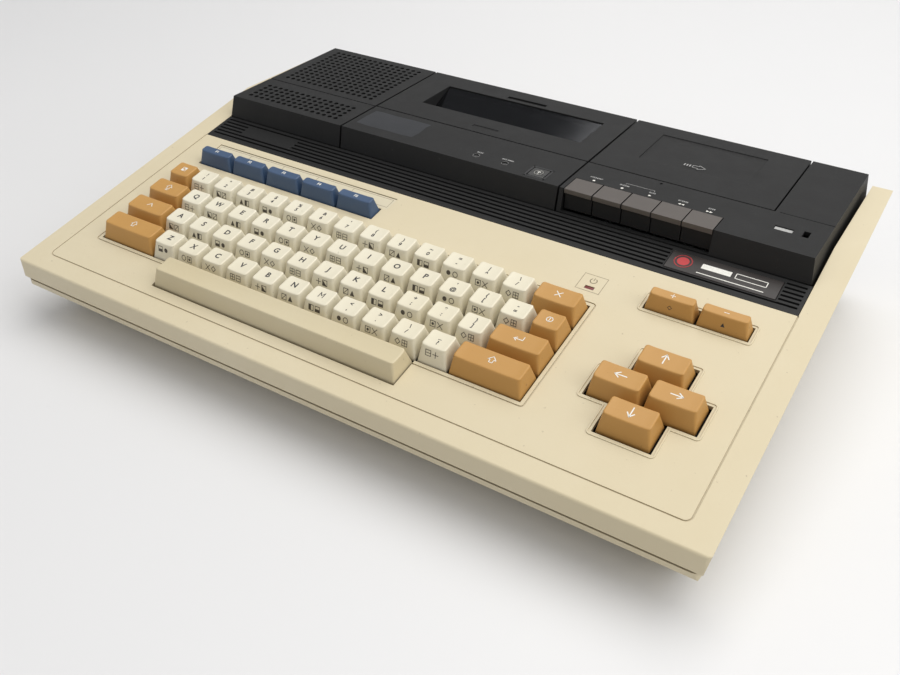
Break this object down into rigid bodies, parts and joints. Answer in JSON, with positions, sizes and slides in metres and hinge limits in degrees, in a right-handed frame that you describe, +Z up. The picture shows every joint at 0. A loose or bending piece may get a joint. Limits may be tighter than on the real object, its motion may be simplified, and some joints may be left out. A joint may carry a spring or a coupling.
{
  "type": "vintage home computer",
  "caption": "One-piece wedge-shaped home computer with a full keyboard, a built-in plotter-printer and a cassette recorder under lids, and a speaker grille.",
  "frame": {"origin": "on the desk under the middle of the case, at the bottom of the rubber feet", "axes": "+X to the user's right, +Y to the back, +Z up"},
  "size_m": [0.44, 0.305, 0.0862],
  "materials": {
    "case_cream": "fine moulded grain",
    "unit_black": "fine moulded grain",
    "key_white": "satin",
    "key_ochre": "satin",
    "key_blue": "satin",
    "deck_key_grey": "satin",
    "badge_brown": "satin",
    "label_card": "satin",
    "lamp_red": "clear",
    "foot_rubber": "matte",
    "screw_steel": "zinc plated",
    "plate_steel": "zinc plated",
    "plate_black": "satin black",
    "board_green": "solder resist",
    "socket_black": "satin",
    "button_red": "satin",
    "speaker_paper": "pressed paper",
    "window_smoke": "clear smoked",
    "paper_white": "paper",
    "roller_rubber": "matte",
    "button_silver": "satin",
    "spindle_white": "satin"
  },
  "bodies": {
    "computer": {"upper_case": "case_cream", "lower_case": "case_cream", "rib_panel": "unit_black", "badge_plate": "badge_brown", "label_strip": "label_card", "lamps": "lamp_red", "feet": "foot_rubber", "case_screws": "screw_steel", "keyboard_plate": "plate_black", "circuit_boards": "board_green", "power_supply": "plate_steel", "rear_sockets": "socket_black", "speaker_cover": "unit_black", "speaker": "speaker_paper", "plotter_case": "unit_black", "plotter_frame": "plate_steel", "recorder_case": "unit_black", "tape_deck": "plate_steel"},
    "lower_row_keys": {"lower_row_keys": "key_white"},
    "home_row_keys": {"home_row_keys": "key_white"},
    "upper_row_keys": {"upper_row_keys": "key_white"},
    "number_row_keys": {"number_row_keys": "key_white"},
    "left_shift_key": {"left_shift_key": "key_ochre"},
    "right_shift_key": {"right_shift_key": "key_ochre"},
    "control_key": {"control_key": "key_ochre"},
    "return_key": {"return_key": "key_ochre"},
    "capitals_key": {"capitals_key": "key_ochre"},
    "mode_key": {"mode_key": "key_ochre"},
    "graphics_key": {"graphics_key": "key_ochre"},
    "break_key": {"break_key": "key_ochre"},
    "insert_key": {"insert_key": "key_ochre"},
    "delete_key": {"delete_key": "key_ochre"},
    "left_key": {"left_key": "key_ochre"},
    "right_key": {"right_key": "key_ochre"},
    "up_key": {"up_key": "key_ochre"},
    "down_key": {"down_key": "key_ochre"},
    "function_key_1": {"function_key_1": "key_blue"},
    "function_key_2": {"function_key_2": "key_blue"},
    "function_key_3": {"function_key_3": "key_blue"},
    "function_key_4": {"function_key_4": "key_blue"},
    "function_key_5": {"function_key_5": "key_blue"},
    "space_bar": {"space_bar": "key_white"},
    "stop_key": {"stop_key": "deck_key_grey"},
    "record_key": {"record_key": "deck_key_grey"},
    "play_key": {"play_key": "deck_key_grey"},
    "rewind_key": {"rewind_key": "deck_key_grey"},
    "forward_key": {"forward_key": "deck_key_grey"},
    "plotter_lid": {"plotter_lid": "unit_black", "lid_window": "window_smoke"},
    "cassette_lid": {"cassette_lid": "unit_black"},
    "platen_roller": {"platen_roller": "roller_rubber"},
    "paper_roll": {"paper_roll": "paper_white"},
    "pen_carriage": {"pen_carriage": "socket_black"},
    "feed_button": {"feed_button": "button_silver"},
    "pen_buttons": {"pen_buttons": "socket_black"},
    "supply_spindle": {"supply_spindle": "spindle_white"},
    "takeup_spindle": {"takeup_spindle": "spindle_white"},
    "power_switch": {"power_switch": "socket_black"},
    "reset_button": {"reset_button": "button_red"},
    "volume_wheel": {"volume_wheel": "socket_black"}
  },
  "joints": [
    {"name": "lower_row_keys_press", "type": "slide", "parent": "computer", "child": "lower_row_keys", "axis": [0, 0.1788, -0.9839], "range_m": [0, 0.0038], "stiffness_N_per_m": 1100, "springref_m": -0.002},
    {"name": "home_row_keys_press", "type": "slide", "parent": "computer", "child": "home_row_keys", "axis": [0, 0.1788, -0.9839], "range_m": [0, 0.0038], "stiffness_N_per_m": 1200, "springref_m": -0.002},
    {"name": "upper_row_keys_press", "type": "slide", "parent": "computer", "child": "upper_row_keys", "axis": [0, 0.1788, -0.9839], "range_m": [0, 0.0038], "stiffness_N_per_m": 1300, "springref_m": -0.002},
    {"name": "number_row_keys_press", "type": "slide", "parent": "computer", "child": "number_row_keys", "axis": [0, 0.1788, -0.9839], "range_m": [0, 0.0038], "stiffness_N_per_m": 1300, "springref_m": -0.002},
    {"name": "left_shift_key_press", "type": "slide", "parent": "computer", "child": "left_shift_key", "axis": [0, 0.1788, -0.9839], "range_m": [0, 0.0038], "stiffness_N_per_m": 110, "springref_m": -0.002},
    {"name": "right_shift_key_press", "type": "slide", "parent": "computer", "child": "right_shift_key", "axis": [0, 0.1788, -0.9839], "range_m": [0, 0.0038], "stiffness_N_per_m": 110, "springref_m": -0.002},
    {"name": "control_key_press", "type": "slide", "parent": "computer", "child": "control_key", "axis": [0, 0.1788, -0.9839], "range_m": [0, 0.0038], "stiffness_N_per_m": 110, "springref_m": -0.002},
    {"name": "return_key_press", "type": "slide", "parent": "computer", "child": "return_key", "axis": [0, 0.1788, -0.9839], "range_m": [0, 0.0038], "stiffness_N_per_m": 110, "springref_m": -0.002},
    {"name": "capitals_key_press", "type": "slide", "parent": "computer", "child": "capitals_key", "axis": [0, 0.1788, -0.9839], "range_m": [0, 0.0038], "stiffness_N_per_m": 110, "springref_m": -0.002},
    {"name": "mode_key_press", "type": "slide", "parent": "computer", "child": "mode_key", "axis": [0, 0.1788, -0.9839], "range_m": [0, 0.0038], "stiffness_N_per_m": 110, "springref_m": -0.002},
    {"name": "graphics_key_press", "type": "slide", "parent": "computer", "child": "graphics_key", "axis": [0, 0.1788, -0.9839], "range_m": [0, 0.0038], "stiffness_N_per_m": 110, "springref_m": -0.002},
    {"name": "break_key_press", "type": "slide", "parent": "computer", "child": "break_key", "axis": [0, 0.1788, -0.9839], "range_m": [0, 0.0038], "stiffness_N_per_m": 110, "springref_m": -0.002},
    {"name": "insert_key_press", "type": "slide", "parent": "computer", "child": "insert_key", "axis": [0, 0.1788, -0.9839], "range_m": [0, 0.0038], "stiffness_N_per_m": 110, "springref_m": -0.002},
    {"name": "delete_key_press", "type": "slide", "parent": "computer", "child": "delete_key", "axis": [0, 0.1788, -0.9839], "range_m": [0, 0.0038], "stiffness_N_per_m": 110, "springref_m": -0.002},
    {"name": "left_key_press", "type": "slide", "parent": "computer", "child": "left_key", "axis": [0, 0.1788, -0.9839], "range_m": [0, 0.0038], "stiffness_N_per_m": 110, "springref_m": -0.002},
    {"name": "right_key_press", "type": "slide", "parent": "computer", "child": "right_key", "axis": [0, 0.1788, -0.9839], "range_m": [0, 0.0038], "stiffness_N_per_m": 110, "springref_m": -0.002},
    {"name": "up_key_press", "type": "slide", "parent": "computer", "child": "up_key", "axis": [0, 0.1788, -0.9839], "range_m": [0, 0.0038], "stiffness_N_per_m": 110, "springref_m": -0.002},
    {"name": "down_key_press", "type": "slide", "parent": "computer", "child": "down_key", "axis": [0, 0.1788, -0.9839], "range_m": [0, 0.0038], "stiffness_N_per_m": 110, "springref_m": -0.002},
    {"name": "function_key_1_press", "type": "slide", "parent": "computer", "child": "function_key_1", "axis": [0, 0.1788, -0.9839], "range_m": [0, 0.0038], "stiffness_N_per_m": 110, "springref_m": -0.002},
    {"name": "function_key_2_press", "type": "slide", "parent": "computer", "child": "function_key_2", "axis": [0, 0.1788, -0.9839], "range_m": [0, 0.0038], "stiffness_N_per_m": 110, "springref_m": -0.002},
    {"name": "function_key_3_press", "type": "slide", "parent": "computer", "child": "function_key_3", "axis": [0, 0.1788, -0.9839], "range_m": [0, 0.0038], "stiffness_N_per_m": 110, "springref_m": -0.002},
    {"name": "function_key_4_press", "type": "slide", "parent": "computer", "child": "function_key_4", "axis": [0, 0.1788, -0.9839], "range_m": [0, 0.0038], "stiffness_N_per_m": 110, "springref_m": -0.002},
    {"name": "function_key_5_press", "type": "slide", "parent": "computer", "child": "function_key_5", "axis": [0, 0.1788, -0.9839], "range_m": [0, 0.0038], "stiffness_N_per_m": 110, "springref_m": -0.002},
    {"name": "space_bar_press", "type": "slide", "parent": "computer", "child": "space_bar", "axis": [0, 0.1788, -0.9839], "range_m": [0, 0.0038], "stiffness_N_per_m": 350, "springref_m": -0.002},
    {"name": "stop_key_press", "type": "hinge", "parent": "computer", "child": "stop_key", "pos_m": [0.0651, 0.0605, 0.075], "axis": [1, 0, 0], "range_deg": [0, 8], "stiffness_Nm_per_rad": 0.6, "springref_deg": -5.73},
    {"name": "record_key_press", "type": "hinge", "parent": "computer", "child": "record_key", "pos_m": [0.0833, 0.0605, 0.075], "axis": [1, 0, 0], "range_deg": [0, 8], "stiffness_Nm_per_rad": 0.6, "springref_deg": -5.73},
    {"name": "play_key_press", "type": "hinge", "parent": "computer", "child": "play_key", "pos_m": [0.1015, 0.0605, 0.075], "axis": [1, 0, 0], "range_deg": [0, 8], "stiffness_Nm_per_rad": 0.6, "springref_deg": -5.73},
    {"name": "rewind_key_press", "type": "hinge", "parent": "computer", "child": "rewind_key", "pos_m": [0.1197, 0.0605, 0.075], "axis": [1, 0, 0], "range_deg": [0, 8], "stiffness_Nm_per_rad": 0.6, "springref_deg": -5.73},
    {"name": "forward_key_press", "type": "hinge", "parent": "computer", "child": "forward_key", "pos_m": [0.1379, 0.0605, 0.075], "axis": [1, 0, 0], "range_deg": [0, 8], "stiffness_Nm_per_rad": 0.6, "springref_deg": -5.73},
    {"name": "plotter_lid_open", "type": "hinge", "parent": "computer", "child": "plotter_lid", "pos_m": [-0.02805, 0.139, 0.079], "axis": [-1, 0, 0], "range_deg": [0, 80]},
    {"name": "cassette_lid_open", "type": "hinge", "parent": "computer", "child": "cassette_lid", "pos_m": [0.111, 0.139, 0.079], "axis": [-1, 0, 0], "range_deg": [0, 60]},
    {"name": "platen_turn", "type": "hinge", "parent": "computer", "child": "platen_roller", "pos_m": [-0.02805, 0.0937, 0.06], "axis": [1, 0, 0], "continuous": true},
    {"name": "paper_roll_turn", "type": "hinge", "parent": "computer", "child": "paper_roll", "pos_m": [-0.02805, 0.1157, 0.05], "axis": [1, 0, 0], "continuous": true},
    {"name": "pen_carriage_slide", "type": "slide", "parent": "computer", "child": "pen_carriage", "axis": [1, 0, 0], "range_m": [-0.045, 0.045]},
    {"name": "feed_button_press", "type": "slide", "parent": "computer", "child": "feed_button", "axis": [0, 0, -1], "range_m": [0, 0.0015], "stiffness_N_per_m": 200, "springref_m": -0.001},
    {"name": "pen_buttons_press", "type": "slide", "parent": "computer", "child": "pen_buttons", "axis": [0, 0, -1], "range_m": [0, 0.001], "stiffness_N_per_m": 200, "springref_m": -0.001},
    {"name": "supply_spindle_turn", "type": "hinge", "parent": "computer", "child": "supply_spindle", "pos_m": [0.08925, 0.1035, 0.066], "axis": [0, 0, 1], "continuous": true},
    {"name": "takeup_spindle_turn", "type": "hinge", "parent": "computer", "child": "takeup_spindle", "pos_m": [0.13175, 0.1035, 0.066], "axis": [0, 0, 1], "continuous": true},
    {"name": "power_switch_rock", "type": "hinge", "parent": "computer", "child": "power_switch", "pos_m": [0.142, 0.1445, 0.032], "axis": [1, 0, 0], "range_deg": [0, 16]},
    {"name": "reset_button_press", "type": "slide", "parent": "computer", "child": "reset_button", "axis": [0, -1, 0], "range_m": [0, 0.002], "stiffness_N_per_m": 200, "springref_m": -0.001},
    {"name": "volume_wheel_turn", "type": "hinge", "parent": "computer", "child": "volume_wheel", "pos_m": [0.105, 0.1405, 0.032], "axis": [0, 0, 1], "range_deg": [0, 280]}
  ],
  "couplings": [
    {"joint": "platen_turn", "follows": "paper_roll_turn", "ratio": 1.5625}
  ]
}
